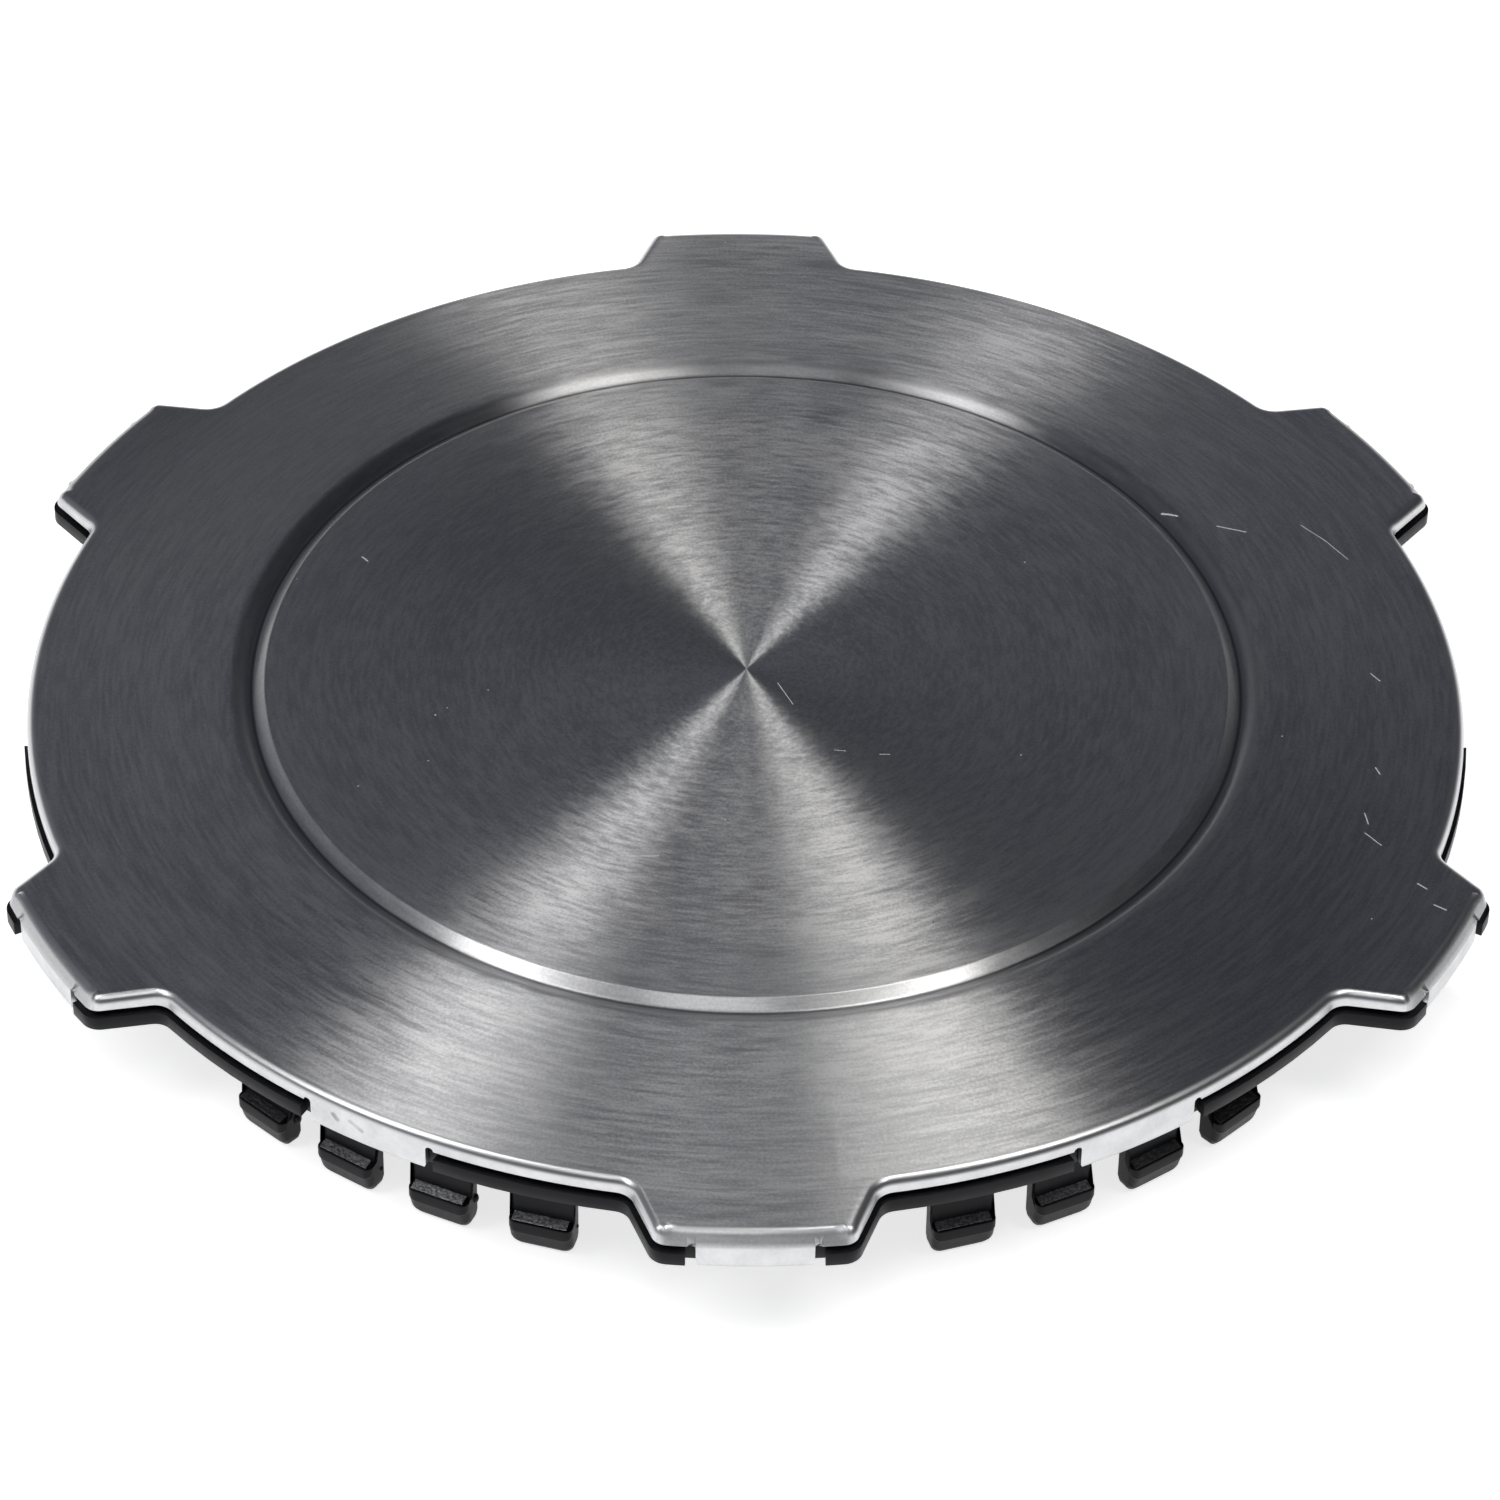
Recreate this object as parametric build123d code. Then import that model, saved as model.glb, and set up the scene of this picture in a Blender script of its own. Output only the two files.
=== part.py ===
from build123d import *
from math import cos, degrees, radians, sin, sqrt, tan
import os

# A wheel centre cap for a six-lug wheel: a pressed, spin-brushed sheet-metal face with six
# lobes, crimped at twelve tabs over a moulded black clip carrier with 24 barbed snap legs.
# Millimetres. The leg tips stand on z = 0, +Z points out of the wheel, and two of the lobes
# lie on the Y axis.

# Face sheet
face_radius = 99.0            # round part, between the lobes
sheet = 0.8                   # metal thickness
edge_radius = 1.4             # outside radius of the bend round the rim
skirt_depth = 2.1             # how far the plain rim turns down
crown_rise = 2.6              # flat middle disc above the rim
knee_inset = 2.0              # the sloping band ends this far inside the round part's edge

# Lobes
lobe_count = 6
lobe_reach = 8.4              # lobe tips beyond the round part
lobe_drop = 0.2               # lobe tips below the rim
lobe_tip_width = 25.1
lobe_side_angle = 20.5        # taper of each lobe side, in degrees
lobe_corner_radius = 2.2
lobe_root_radius = 3.0

# Pressed ring groove
disc_radius = 66.3            # crisp lip of the flat middle disc
groove_depth = 1.5
groove_inner_run = 1.9        # steep wall below the disc lip
groove_outer_run = 2.2        # soft wall up to the outer band
disc_lip_radius = 0.5
groove_floor_radius = 1.0
groove_shoulder_radius = 3.0

# Crimp tabs, one on each lobe tip and one in the middle of each bay between lobes
lobe_crimp_width = 15.0
rim_crimp_width = 17.3
crimp_reach = 3.2             # how far each tab folds in under the carrier
crimp_inner_radius = 0.3      # inside of the bend, round the carrier's lower edge
crimp_corner_cut = 1.2        # chamfer on the inner corners of each tab
crimp_relief_radius = 0.55    # round relief at each tab root

# Clip carrier plate
fit_gap = 0.1                 # between the sheet and the carrier, all round
rim_depth = 5.0               # carrier underside below the face rim
lip_proud = 0.5               # carrier lip outside the sheet
lip_height = 2.0
lip_end_bevel = 0.6           # slant of the lip's ends beside each tab
lip_end_gap = 1.3             # the lip stops this far from each tab
plate_level = 1.6             # underside of the web below the face rim
lobe_wall = 4.2               # wall round the pocket behind each lobe
pocket_level = 2.7            # bottom of that pocket below the face rim
pocket_inset = 4.4            # round part of the rim band outside the leg ring
rib_thickness = 1.5
rib_depth = 5.0               # below the web
rib_count = 12
outer_rib_inset = 14.0        # stiffening ring, inside the leg ring
hub_rib_radius = 24.0

# Snap legs
legs_per_bay = 4
leg_inset = 6.3               # leg face inside the round part's edge
leg_width = 8.6
leg_gap = 5.5
leg_length = 15.4             # leg tip below the carrier underside
leg_thickness = 1.7
leg_root_thickness = 2.6
leg_corner_radius = 1.7       # lower corners, seen from outside
barb_height = 5.4             # shoulder above the leg tip
barb_reach = 1.8
barb_fall = 0.4               # shoulder slopes down outwards
barb_band = 1.7               # height of the upper band of the nose
barb_step = 0.2               # the lower band sits back
nose_taper = 0.6
nose_height = 0.9             # lower rounding of the nose
nose_setback = 1.5
foot_width = 1.6

# Working sizes
rim_z = leg_length + rim_depth
disc_z = rim_z + crown_rise
lobe_radius = face_radius + lobe_reach
groove_radius = disc_radius + groove_inner_run
shoulder_radius = groove_radius + groove_outer_run
knee_radius = face_radius - knee_inset
lobe_slope = lobe_drop / (lobe_radius - knee_radius)
rim_from = (knee_radius + face_radius - sheet - fit_gap) / 2
bay_angle = 360.0 / lobe_count
leg_ring_radius = face_radius - leg_inset
leg_pitch = degrees((leg_width + leg_gap) / leg_ring_radius)
carrier_bottom = rim_z - rim_depth
lip_top = carrier_bottom + lip_height
crimp_inner_z = carrier_bottom - fit_gap
crimp_outer_z = crimp_inner_z - sheet
skirt_z = rim_z - skirt_depth
web_z = rim_z - plate_level
pocket_z = rim_z - pocket_level
far_radius = lobe_radius + 2.0 * lip_proud + 2.0


def lobe_blank(inset):
    """One tapered lobe along +X, its sides and tip moved in by inset, its root inside the disc."""
    taper = tan(radians(lobe_side_angle))
    tip_x = sqrt(lobe_radius**2 - (lobe_tip_width / 2)**2)
    half_tip = lobe_tip_width / 2 - inset / cos(radians(lobe_side_angle))
    start_x = face_radius - lobe_reach - inset
    end_x = lobe_radius + 1.0
    start_half = half_tip + (tip_x - start_x) * taper
    end_half = half_tip - (end_x - tip_x) * taper
    corners = [(start_x, -start_half), (end_x, -end_half), (end_x, end_half), (start_x, start_half)]
    return make_face(Polyline(*corners, close=True)) & Circle(lobe_radius - inset)


def lobed_outline():
    """Plan of the face: a disc with tapered lobes, all corners rounded."""
    plan = Circle(face_radius)
    blank = lobe_blank(0.0)
    for index in range(lobe_count):
        plan += Rot(0, 0, 90 + index * bay_angle) * blank
    plan = plan.faces()[0]
    tips = []
    roots = []
    for vertex in plan.vertices():
        reach = sqrt(vertex.X**2 + vertex.Y**2)
        if reach > lobe_radius - 0.01:
            tips.append(vertex)
        elif reach < face_radius + 0.01:
            roots.append(vertex)
    plan = fillet(tips, lobe_corner_radius)
    roots = [v for v in plan.vertices() if abs(sqrt(v.X**2 + v.Y**2) - face_radius) < 0.01]
    return fillet(roots, lobe_root_radius).faces()[0]


def grown(plan, amount):
    """The plan moved outwards (or inwards, where amount is negative) all round."""
    return offset(plan, amount, kind=Kind.ARC).faces()[0]


def slab(plan, low, high):
    return extrude(Pos(0, 0, low) * plan, high - low, dir=(0, 0, 1))


def crowned_blank(drop, low):
    """Turned blank under the face surface, lowered by drop, with its pressed ring groove."""
    top = disc_z - drop
    lip = (disc_radius, top)
    floor = (groove_radius, top - groove_depth)
    shoulder = (shoulder_radius, top)
    knee = (knee_radius, rim_z - drop)
    edge = (far_radius, rim_z - drop - lobe_slope * (far_radius - knee_radius))
    corners = [(0, low), (0, top), lip, floor, shoulder, knee, edge, (far_radius, low)]
    line = Polyline(*corners, close=True)
    return revolve(make_face(Plane.XZ * line), Axis.Z)


def rounded_groove(solid):
    """Rounds the lip, floor and shoulder of the groove on the turned surface."""
    rounds = [
        (shoulder_radius, groove_shoulder_radius),
        (disc_radius, disc_lip_radius),
        (groove_radius, groove_floor_radius),
    ]
    for radius, rounding in rounds:
        circles = solid.edges().filter_by(GeomType.CIRCLE)
        ring = [edge for edge in circles if abs(edge.radius - radius) < 0.01]
        solid = fillet(ring, rounding)
    return solid


def face_body(plan, drop, low, rounding):
    """Lobed pan shape under the crowned surface, its upper edge rounded."""
    body = rounded_groove(crowned_blank(drop, low)) & slab(plan, low, disc_z + 1.0)
    body = body.solids()[0]
    top_edges = []
    for edge in body.edges():
        box = edge.bounding_box()
        middle = edge.position_at(0.5)
        on_rim = sqrt(middle.X**2 + middle.Y**2) > rim_from
        if on_rim and box.min.Z > rim_z - drop - lobe_drop - rounding / 2:
            top_edges.append(edge)
    return fillet(top_edges, rounding).solids()[0]


def crimp_places():
    """First angle, outline radius and width of the tabs on the lobes and between them."""
    return [
        (90.0, lobe_radius, lobe_crimp_width),
        (90.0 + bay_angle / 2, face_radius, rim_crimp_width),
    ]


def around(solid, first_angle):
    """Copies of a shape that lies along +X, one for each lobe or bay."""
    return [Rot(0, 0, first_angle + index * bay_angle) * solid for index in range(lobe_count)]


def folded_rim(plan):
    """Ring with the section of a crimp tab: down outside the carrier and in under it."""
    outer = slab(plan, crimp_outer_z, skirt_z)
    lower_edges = outer.faces().sort_by(Axis.Z)[0].edges()
    outer = fillet(lower_edges, crimp_inner_radius + sheet)
    hollow = slab(grown(plan, -sheet), crimp_inner_z, skirt_z + 1.0)
    lower_edges = hollow.faces().sort_by(Axis.Z)[0].edges()
    return outer - fillet(lower_edges, crimp_inner_radius)


def crimp_tab(ring, first_angle, radius, width):
    """One tab, cut out of the folded ring, with its inner corners chamfered."""
    depth = crimp_reach
    window = make_face(Polyline(
        (radius + 1.0, -width / 2),
        (radius - depth + crimp_corner_cut, -width / 2),
        (radius - depth, -width / 2 + crimp_corner_cut),
        (radius - depth, width / 2 - crimp_corner_cut),
        (radius - depth + crimp_corner_cut, width / 2),
        (radius + 1.0, width / 2),
        close=True,
    ))
    return (ring & (Rot(0, 0, first_angle) * slab(window, crimp_outer_z, skirt_z))).solids()[0]


def face_skin(plan):
    """Pressed face: crowned pan, turned-down skirt, crimp tabs with round root reliefs."""
    pan = face_body(plan, 0.0, skirt_z, edge_radius)
    pan -= face_body(grown(plan, -sheet), sheet, skirt_z - 1.0, edge_radius - sheet)
    ring = folded_rim(plan)
    tabs = []
    reliefs = []
    for first_angle, radius, width in crimp_places():
        tab = crimp_tab(ring, first_angle, radius, width)
        tabs += [Rot(0, 0, index * bay_angle) * tab for index in range(lobe_count)]
        for side in (-1, 1):
            across = side * (width / 2 + crimp_relief_radius)
            hole = Cylinder(crimp_relief_radius, 2 * crimp_reach, rotation=(0, 90, 0))
            reliefs += around(Pos(radius, across, skirt_z) * hole, first_angle)
    return ((pan + tabs) - reliefs).solids()[0]


def leg_profile():
    """Radial section of one snap leg, as (radius, height) corners from its root down."""
    face = leg_ring_radius
    nose = face + barb_reach
    shoulder_z = barb_height
    band_z = shoulder_z - barb_fall - barb_band
    return [
        (face - leg_root_thickness, web_z),
        (face, web_z),
        (face, shoulder_z),
        (nose, shoulder_z - barb_fall),
        (nose, band_z),
        (nose - barb_step, band_z - barb_step),
        (nose - barb_step - nose_taper, nose_height),
        (nose - nose_setback, 0.0),
        (nose - nose_setback - foot_width, 0.0),
        (face - leg_thickness, nose_height),
        (face - leg_thickness, shoulder_z + 1.0),
    ]


def snap_leg():
    """One flat leg with its outward barb, lower corners rounded, lying along +X."""
    section = make_face(Plane.XZ * Polyline(*leg_profile(), close=True))
    blank = extrude(section, leg_width / 2, both=True)
    front = Pos(0, rim_z / 2) * Rectangle(leg_width, rim_z)
    front = fillet(front.vertices().sort_by(Axis.Y)[:2], leg_corner_radius)
    mask = extrude(Plane.YZ * front, 2 * leg_ring_radius)
    return (blank & mask).solids()[0]


def carrier_plate(plan):
    """Web, rim band with pockets behind the lobes, and stiffening ribs."""
    plate = face_body(plan, sheet + fit_gap, carrier_bottom, edge_radius - sheet)
    leg_back = leg_ring_radius - leg_root_thickness
    hollows = [slab(Circle(leg_back), carrier_bottom, web_z)]
    pocket = lobe_blank(sheet + fit_gap + lobe_wall) - Circle(face_radius - pocket_inset)
    hollows += around(slab(pocket, carrier_bottom, pocket_z), 90.0)
    plate -= hollows

    rib_low = web_z - rib_depth
    rib_top = web_z + 0.5
    outer_rib = leg_ring_radius - outer_rib_inset
    ribs = []
    for radius in (outer_rib, hub_rib_radius):
        ring = Circle(radius + rib_thickness / 2) - Circle(radius - rib_thickness / 2)
        ribs.append(slab(ring, rib_low, rib_top))
    middle = (outer_rib + hub_rib_radius) / 2
    spoke = slab(Pos(middle, 0) * Rectangle(outer_rib - hub_rib_radius, rib_thickness), rib_low, rib_top)
    for index in range(rib_count):
        ribs.append(Rot(0, 0, (index + 0.5) * 360.0 / rib_count) * spoke)
    return plate + ribs


def carrier_lip(plan):
    """Outward lip round the carrier, with bevelled ends where the sheet's tabs pass."""
    lip = grown(plan, sheet + fit_gap + lip_proud)
    gaps = []
    for first_angle, radius, width in crimp_places():
        inner = radius - crimp_reach
        outer = radius + crimp_reach
        half = width / 2 + lip_end_gap
        spread = crimp_reach * lip_end_bevel
        corners = [
            (inner, -half),
            (radius, -half),
            (outer, -half - spread),
            (outer, half + spread),
            (radius, half),
            (inner, half),
        ]
        gaps += around(make_face(Polyline(*corners, close=True)), first_angle)
    return slab((lip - gaps) - grown(plan, -1.0), carrier_bottom, lip_top)


def clip_carrier(plan):
    """Moulded carrier in one piece: plate, lip and all snap legs."""
    leg = snap_leg()
    legs = []
    for place in range(legs_per_bay):
        turn = (place - (legs_per_bay - 1) / 2) * leg_pitch
        legs += around(leg, 90.0 + bay_angle / 2 + turn)
    return (carrier_plate(plan) + carrier_lip(plan) + legs).solids()[0]


os.makedirs("parts", exist_ok=True)
outline = lobed_outline()
pieces = {
    "face_skin": face_skin(outline),
    "clip_carrier": clip_carrier(grown(outline, -(sheet + fit_gap))),
}
for name, solid in pieces.items():
    export_step(solid, f"parts/{name}.step")
    print(name, round(solid.volume, 1), "mm3")
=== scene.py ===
import random
from math import atan2, cos, hypot, pi, radians, sin, sqrt, tan

import bmesh
import bpy
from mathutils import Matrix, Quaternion, Vector


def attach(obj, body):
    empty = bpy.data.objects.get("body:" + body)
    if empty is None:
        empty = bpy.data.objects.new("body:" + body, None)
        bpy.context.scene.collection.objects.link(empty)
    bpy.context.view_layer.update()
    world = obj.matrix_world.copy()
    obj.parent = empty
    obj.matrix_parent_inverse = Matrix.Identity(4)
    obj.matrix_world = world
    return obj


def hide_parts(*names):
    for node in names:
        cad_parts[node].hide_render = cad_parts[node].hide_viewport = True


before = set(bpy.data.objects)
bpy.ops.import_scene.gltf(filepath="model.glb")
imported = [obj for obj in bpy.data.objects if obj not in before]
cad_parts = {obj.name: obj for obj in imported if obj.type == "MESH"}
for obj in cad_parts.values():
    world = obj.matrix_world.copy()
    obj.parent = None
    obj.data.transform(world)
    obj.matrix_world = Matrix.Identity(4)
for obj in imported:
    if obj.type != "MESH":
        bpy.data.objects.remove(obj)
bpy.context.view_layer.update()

mm = 0.001  # sizes below are in millimetres, the meshes in metres
print("frame loaded:", ", ".join(sorted(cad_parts)))


def addObject(name, data):
    thing = bpy.data.objects.new(name, data)
    bpy.context.scene.collection.objects.link(thing)
    return thing


def bakeModifiers(thing):  # turns the evaluated object into its own plain mesh
    bpy.context.view_layer.update()
    solid = bpy.data.meshes.new_from_object(thing.evaluated_get(bpy.context.evaluated_depsgraph_get()))
    thing.modifiers.clear()
    thing.data = solid
    return thing


def softenShading(thing, crease):  # smooth faces, sharp along edges that turn more than crease degrees
    work = bmesh.new()
    work.from_mesh(thing.data)
    for face in work.faces:
        face.smooth = True
    for edge in work.edges:
        edge.smooth = len(edge.link_faces) == 2 and edge.calc_face_angle(0.0) < radians(crease)
    work.to_mesh(thing.data)
    work.free()


# A socket that takes part in plain expressions; each operator adds its Math node.
class Wire:
    def __init__(self, tree, socket=None):
        self.tree = tree
        self.socket = socket

    def node(self, kind, settings=None, inputs=None, output=0):
        made = self.tree.nodes.new(kind)
        for key, value in (settings or {}).items():
            setattr(made, key, value)
        for key, value in (inputs or {}).items():
            if isinstance(value, Wire):
                self.tree.links.new(value.socket, made.inputs[key])
            else:
                made.inputs[key].default_value = value
        return Wire(self.tree, made.outputs[output])

    def math(self, operation, *values, clamp=False):
        return self.node("ShaderNodeMath", {"operation": operation, "use_clamp": clamp}, dict(enumerate(values)))

    def vector(self, operation, *values, output=0):
        return self.node("ShaderNodeVectorMath", {"operation": operation}, dict(enumerate(values)), output)

    def scaled(self, vector, factor):
        return self.node("ShaderNodeVectorMath", {"operation": "SCALE"}, {0: vector, 3: factor})

    def __add__(self, other): return self.math("ADD", self, other)
    def __radd__(self, other): return self.math("ADD", other, self)
    def __sub__(self, other): return self.math("SUBTRACT", self, other)
    def __rsub__(self, other): return self.math("SUBTRACT", other, self)
    def __mul__(self, other): return self.math("MULTIPLY", self, other)
    def __rmul__(self, other): return self.math("MULTIPLY", other, self)

    def clamped(self):  # between 0 and 1
        return self.math("ADD", self, 0.0, clamp=True)

    def ramp(self, low, high, start=0.0, end=1.0):  # eased and clamped between low and high
        settings = {"interpolation_type": "SMOOTHSTEP"}
        return self.node("ShaderNodeMapRange", settings, {0: self, 1: low, 2: high, 3: start, 4: end})

    def blend(self, first, second):  # colours, this value as the factor
        first, second = [(*c, 1.0) if isinstance(c, tuple) else c for c in (first, second)]
        return self.node("ShaderNodeMix", {"data_type": "RGBA"}, {0: self, 6: first, 7: second}, 2)

    def noise(self, scale, detail=2.0, roughness=0.5):
        inputs = {"Vector": self, "Scale": scale, "Detail": detail, "Roughness": roughness}
        return self.node("ShaderNodeTexNoise", None, inputs)

    def bump(self):  # a relief, its height in millimetres
        return self.node("ShaderNodeBump", None, {"Height": self, "Distance": mm, "Strength": 1.0})


def newMaterial(name):
    material = bpy.data.materials.new(name)
    material.use_nodes = True
    material.node_tree.nodes.clear()
    return material, Wire(material.node_tree)


def finishMaterial(wire, inputs, other=None, share=None):  # where share is 1, other takes the first finish's place
    shader = wire.node("ShaderNodeBsdfPrincipled", None, inputs)
    if other:
        second = wire.node("ShaderNodeBsdfPrincipled", None, other)
        shader = wire.node("ShaderNodeMixShader", None, {0: share, 1: shader, 2: second})
    output = wire.tree.nodes.new("ShaderNodeOutputMaterial")
    wire.tree.links.new(shader.socket, output.inputs["Surface"])


# Finishes of the pressed sheet
brushedFinish = {
    "darkTone": (0.46, 0.464, 0.476),
    "lightTone": (0.66, 0.662, 0.664),
    "roughness": 0.37,
    "bentTone": (0.50, 0.505, 0.515),
    "bentRoughness": 0.33,     # where the rim and the groove are pressed, the brushing is smoothed out
    "anisotropy": 1.0,
    "coat": {"Coat Weight": 0.55, "Coat Roughness": 0.12},  # clear coat over the brushing
    "streaksPerMm": 1.5,
    "streakTurn": 12.0,        # how fast a streak changes along its arc
    "streakHeight": 0.003,     # mm, and so is the scratches' height
    "scratchHeight": 0.02,
    "wideStretch": (0.16, 0.16, 0.12),  # broad bands, as shares of the streaks' scale
    "grainScale": 2600.0,
    "cloudScale": 24.0,
    # how strongly streaks, broad bands, grain and clouds change the tone, and the first two the roughness
    "toneSwing": (2.8, 0.9, 1.7, 0.6),
    "roughSwing": (0.26, 0.10),
    # painted shade in lines round the groove, base colour darkened where the groove floor and its shoulder lie in
    # shade: radius, half width of the core, half width, strength
    "grooveShadeLine": (68.2, 0.102, 0.34, 0.85),
    "grooveShadeTone": (0.10, 0.10, 0.11),
    "shoulderShadeLine": (69.5, 0.7, 1.9, 0.6),
    "shoulderShadeTone": (0.26, 0.26, 0.27),
    "scratchTone": (0.85, 0.85, 0.85),
    "pitTone": (0.02, 0.02, 0.02),
    "markStrength": 0.9,       # of scratches and pits
}
edgeFinish = {
    "tone": (0.61, 0.615, 0.625),
    "greyTone": (0.42, 0.425, 0.44),
    "roughness": 0.36,
    # knocks and smears on the skirt: degrees and height of both ends, width in mm
    "smears": [(238.6, 18.2, 239.6, 17.4, 0.5), (237.1, 18.1, 237.4, 17.6, 0.6)],
    "smearTone": (0.30, 0.30, 0.34),
    "smearDepth": 0.06,
    "softScale": 260.0,
    "fineScale": 1900.0,
}

# Scratches on the face: from x, y to x, y, and width, all in mm
scratches = [
    (59.6, 35.4, 61.7, 34.2, 0.20), (67.3, 32.2, 71.3, 31.3, 0.17), (-53.8, 24.4, -53.0, 23.5, 0.18),
    (-17.1, -38.8, -12.1, -38.8, 0.09), (79.4, 33.9, 82.7, 30.5, 0.11), (82.7, 30.5, 85.5, 26.6, 0.11),
    (86.5, 1.0, 87.6, -0.4, 0.15), (85.4, -18.8, 85.9, -20.0, 0.15), (83.1, -28.1, 83.4, -30.2, 0.13),
    (82.8, -32.0, 84.8, -34.2, 0.11), (89.1, -41.3, 90.2, -42.3, 0.16), (90.9, -45.4, 92.4, -46.4, 0.16),
    (4.3, -3.0, 6.3, -7.5, 0.07), (11.8, -17.1, 13.3, -17.3, 0.07), (17.9, -18.0, 19.3, -18.0, 0.07),
]
# Specks on the face: x, y, radius in mm
paleSpecks = [
    (-62.8, 19.5, 0.16), (-42.6, -9.9, 0.20), (-41.0, -8.4, 0.14), (-43.3, -19.5, 0.14), (-52.6, -24.7, 0.14),
    (-35.5, -4.6, 0.13), (39.5, 23.5, 0.14), (73.0, -13.7, 0.15), (37.1, -18.1, 0.14), (82.3, -48.5, 0.15),
    (-2.0, 103.6, 0.2), (-3.2, -31.5, 0.16),
]
darkSpecks = [(12.8, 24.8, 0.15), (96.0, 0.3, 0.14), (24.0, -51.8, 0.15), (70.2, 34.8, 0.16), (4.2, 0.8, 0.14)]


def strokeMask(wire, place, first, last, width):  # 1 on the stroke, easing to 0 at its width
    run = Vector(last) * mm - Vector(first) * mm
    width *= mm
    start = wire.vector("SUBTRACT", place, tuple(Vector(first) * mm))
    along = wire.vector("DOT_PRODUCT", start, tuple(run / run.length_squared), output=1).clamped()
    nearest = wire.scaled(tuple(run), along)
    away = wire.vector("LENGTH", wire.vector("SUBTRACT", start, nearest), output=1)
    return away.ramp(0.3 * width, width, 1.0, 0.0)


def speckMask(wire, place, speck):
    x, y, radius = [value * mm for value in speck]
    away = wire.vector("DISTANCE", place, (x, y, 0.0), output=1)
    return away.ramp(0.4 * radius, radius, 1.0, 0.0)


def ringMask(radius, line):
    middle, core, width, strength = line
    away = radius.math("ABSOLUTE", radius - middle * mm)
    return away.ramp(core * mm, width * mm, strength, 0.0)


def strongest(masks):
    found = masks[0]
    for mask in masks[1:]:
        found = found.math("MAXIMUM", found, mask)
    return found


def swung(middle, noises, swings):  # noise values, each around 0.5, added to a middle value
    for noise, swing in zip(noises, swings):
        middle = middle + (noise - 0.5) * swing
    return middle


def brushedMetal():
    v = brushedFinish
    material, wire = newMaterial("brushedMetal")
    here = wire.node("ShaderNodeTexCoord", output=3)
    flat = wire.vector("MULTIPLY", here, (1.0, 1.0, 0.0))
    radius = wire.vector("LENGTH", flat, output=1)
    turn = wire.scaled(wire.vector("NORMALIZE", flat), v["streakTurn"])
    depth = wire.node("ShaderNodeCombineXYZ", None, {2: radius * (v["streaksPerMm"] / mm)})
    ring = wire.vector("ADD", turn, depth)
    streaks = ring.noise(1.0, 3.0, 0.65)
    wide = wire.vector("MULTIPLY", ring, v["wideStretch"]).noise(1.0, 2.0)
    grain = here.noise(v["grainScale"], 2.0, 0.6)
    cloud = here.noise(v["cloudScale"], 3.0)
    strokes = [strokeMask(wire, flat, (x1, y1, 0.0), (x2, y2, 0.0), width) for x1, y1, x2, y2, width in scratches]
    marks = strongest(strokes + [speckMask(wire, flat, speck) for speck in paleSpecks])
    pits = strongest([speckMask(wire, flat, speck) for speck in darkSpecks])
    tone = swung(0.5, (streaks, wide, grain, cloud), v["toneSwing"]).clamped()
    # painted shade: the groove floor's base colour is darkened to a dark line
    grooveShade = ringMask(radius, v["grooveShadeLine"])
    colour = grooveShade.blend(tone.blend(v["darkTone"], v["lightTone"]), v["grooveShadeTone"])
    # painted shade: the groove's outer shoulder is darkened, which dims its reflections
    colour = ringMask(radius, v["shoulderShadeLine"]).blend(colour, v["shoulderShadeTone"])
    colour = (marks * v["markStrength"]).blend(colour, v["scratchTone"])
    colour = (pits * v["markStrength"]).blend(colour, v["pitTone"])
    bare = 1.0 - wire.math("MAXIMUM", marks * 0.75, pits)  # raised burrs and pits scatter light, unlike the brushing
    rough = swung(v["roughness"], (streaks, wide), v["roughSwing"]) + marks * 0.1 + pits * 0.2
    height = streaks * v["streakHeight"] + grain * (v["streakHeight"] * 0.3) + marks * v["scratchHeight"]
    brushed = {"Base Color": colour, "Metallic": bare, "Roughness": rough, "Normal": height.bump(), **v["coat"]}
    brushed.update({"Anisotropic": v["anisotropy"], "Anisotropic Rotation": 0.25})  # highlights cross the brushing
    # the bent finish carries the same painted shade on the groove floor
    bentColour = grooveShade.blend(v["bentTone"], v["grooveShadeTone"])
    bentRough = v["bentRoughness"] + (cloud - 0.5) * 0.1
    bent = {"Base Color": bentColour, "Metallic": 1.0, "Roughness": bentRough, **v["coat"]}
    pressed = wire.node("ShaderNodeAttribute", {"attribute_name": "pressed"}, output=2)
    finishMaterial(wire, brushed, bent, pressed)
    return material


def bareEdgeMetal():
    v = edgeFinish
    material, wire = newMaterial("bareEdgeMetal")
    here = wire.node("ShaderNodeTexCoord", output=3)
    soft = here.noise(v["softScale"], 3.0)
    fine = here.noise(v["fineScale"], 3.0, 0.6)
    tone = ((soft - 0.35) * 1.2 + (fine - 0.5) * 0.5).clamped()
    rim = faceSheet["roundRadius"]
    strokes = []
    for turn, height, turn2, height2, width in v["smears"]:
        ends = [(rim * cos(radians(a)), rim * sin(radians(a)), z) for a, z in ((turn, height), (turn2, height2))]
        strokes.append(strokeMask(wire, here, *ends, width))
    worn = strongest(strokes) * soft.ramp(0.35, 0.6, 0.45, 1.0)
    colour = worn.blend(tone.blend(v["tone"], v["greyTone"]), v["smearTone"])
    rough = swung(v["roughness"], (fine, soft), (0.12, 0.15))
    relief = soft * 0.02 + fine * 0.004 - worn * v["smearDepth"]
    finishMaterial(wire, {"Metallic": 1.0, "Base Color": colour, "Roughness": rough, "Normal": relief.bump()})
    return material


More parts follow.
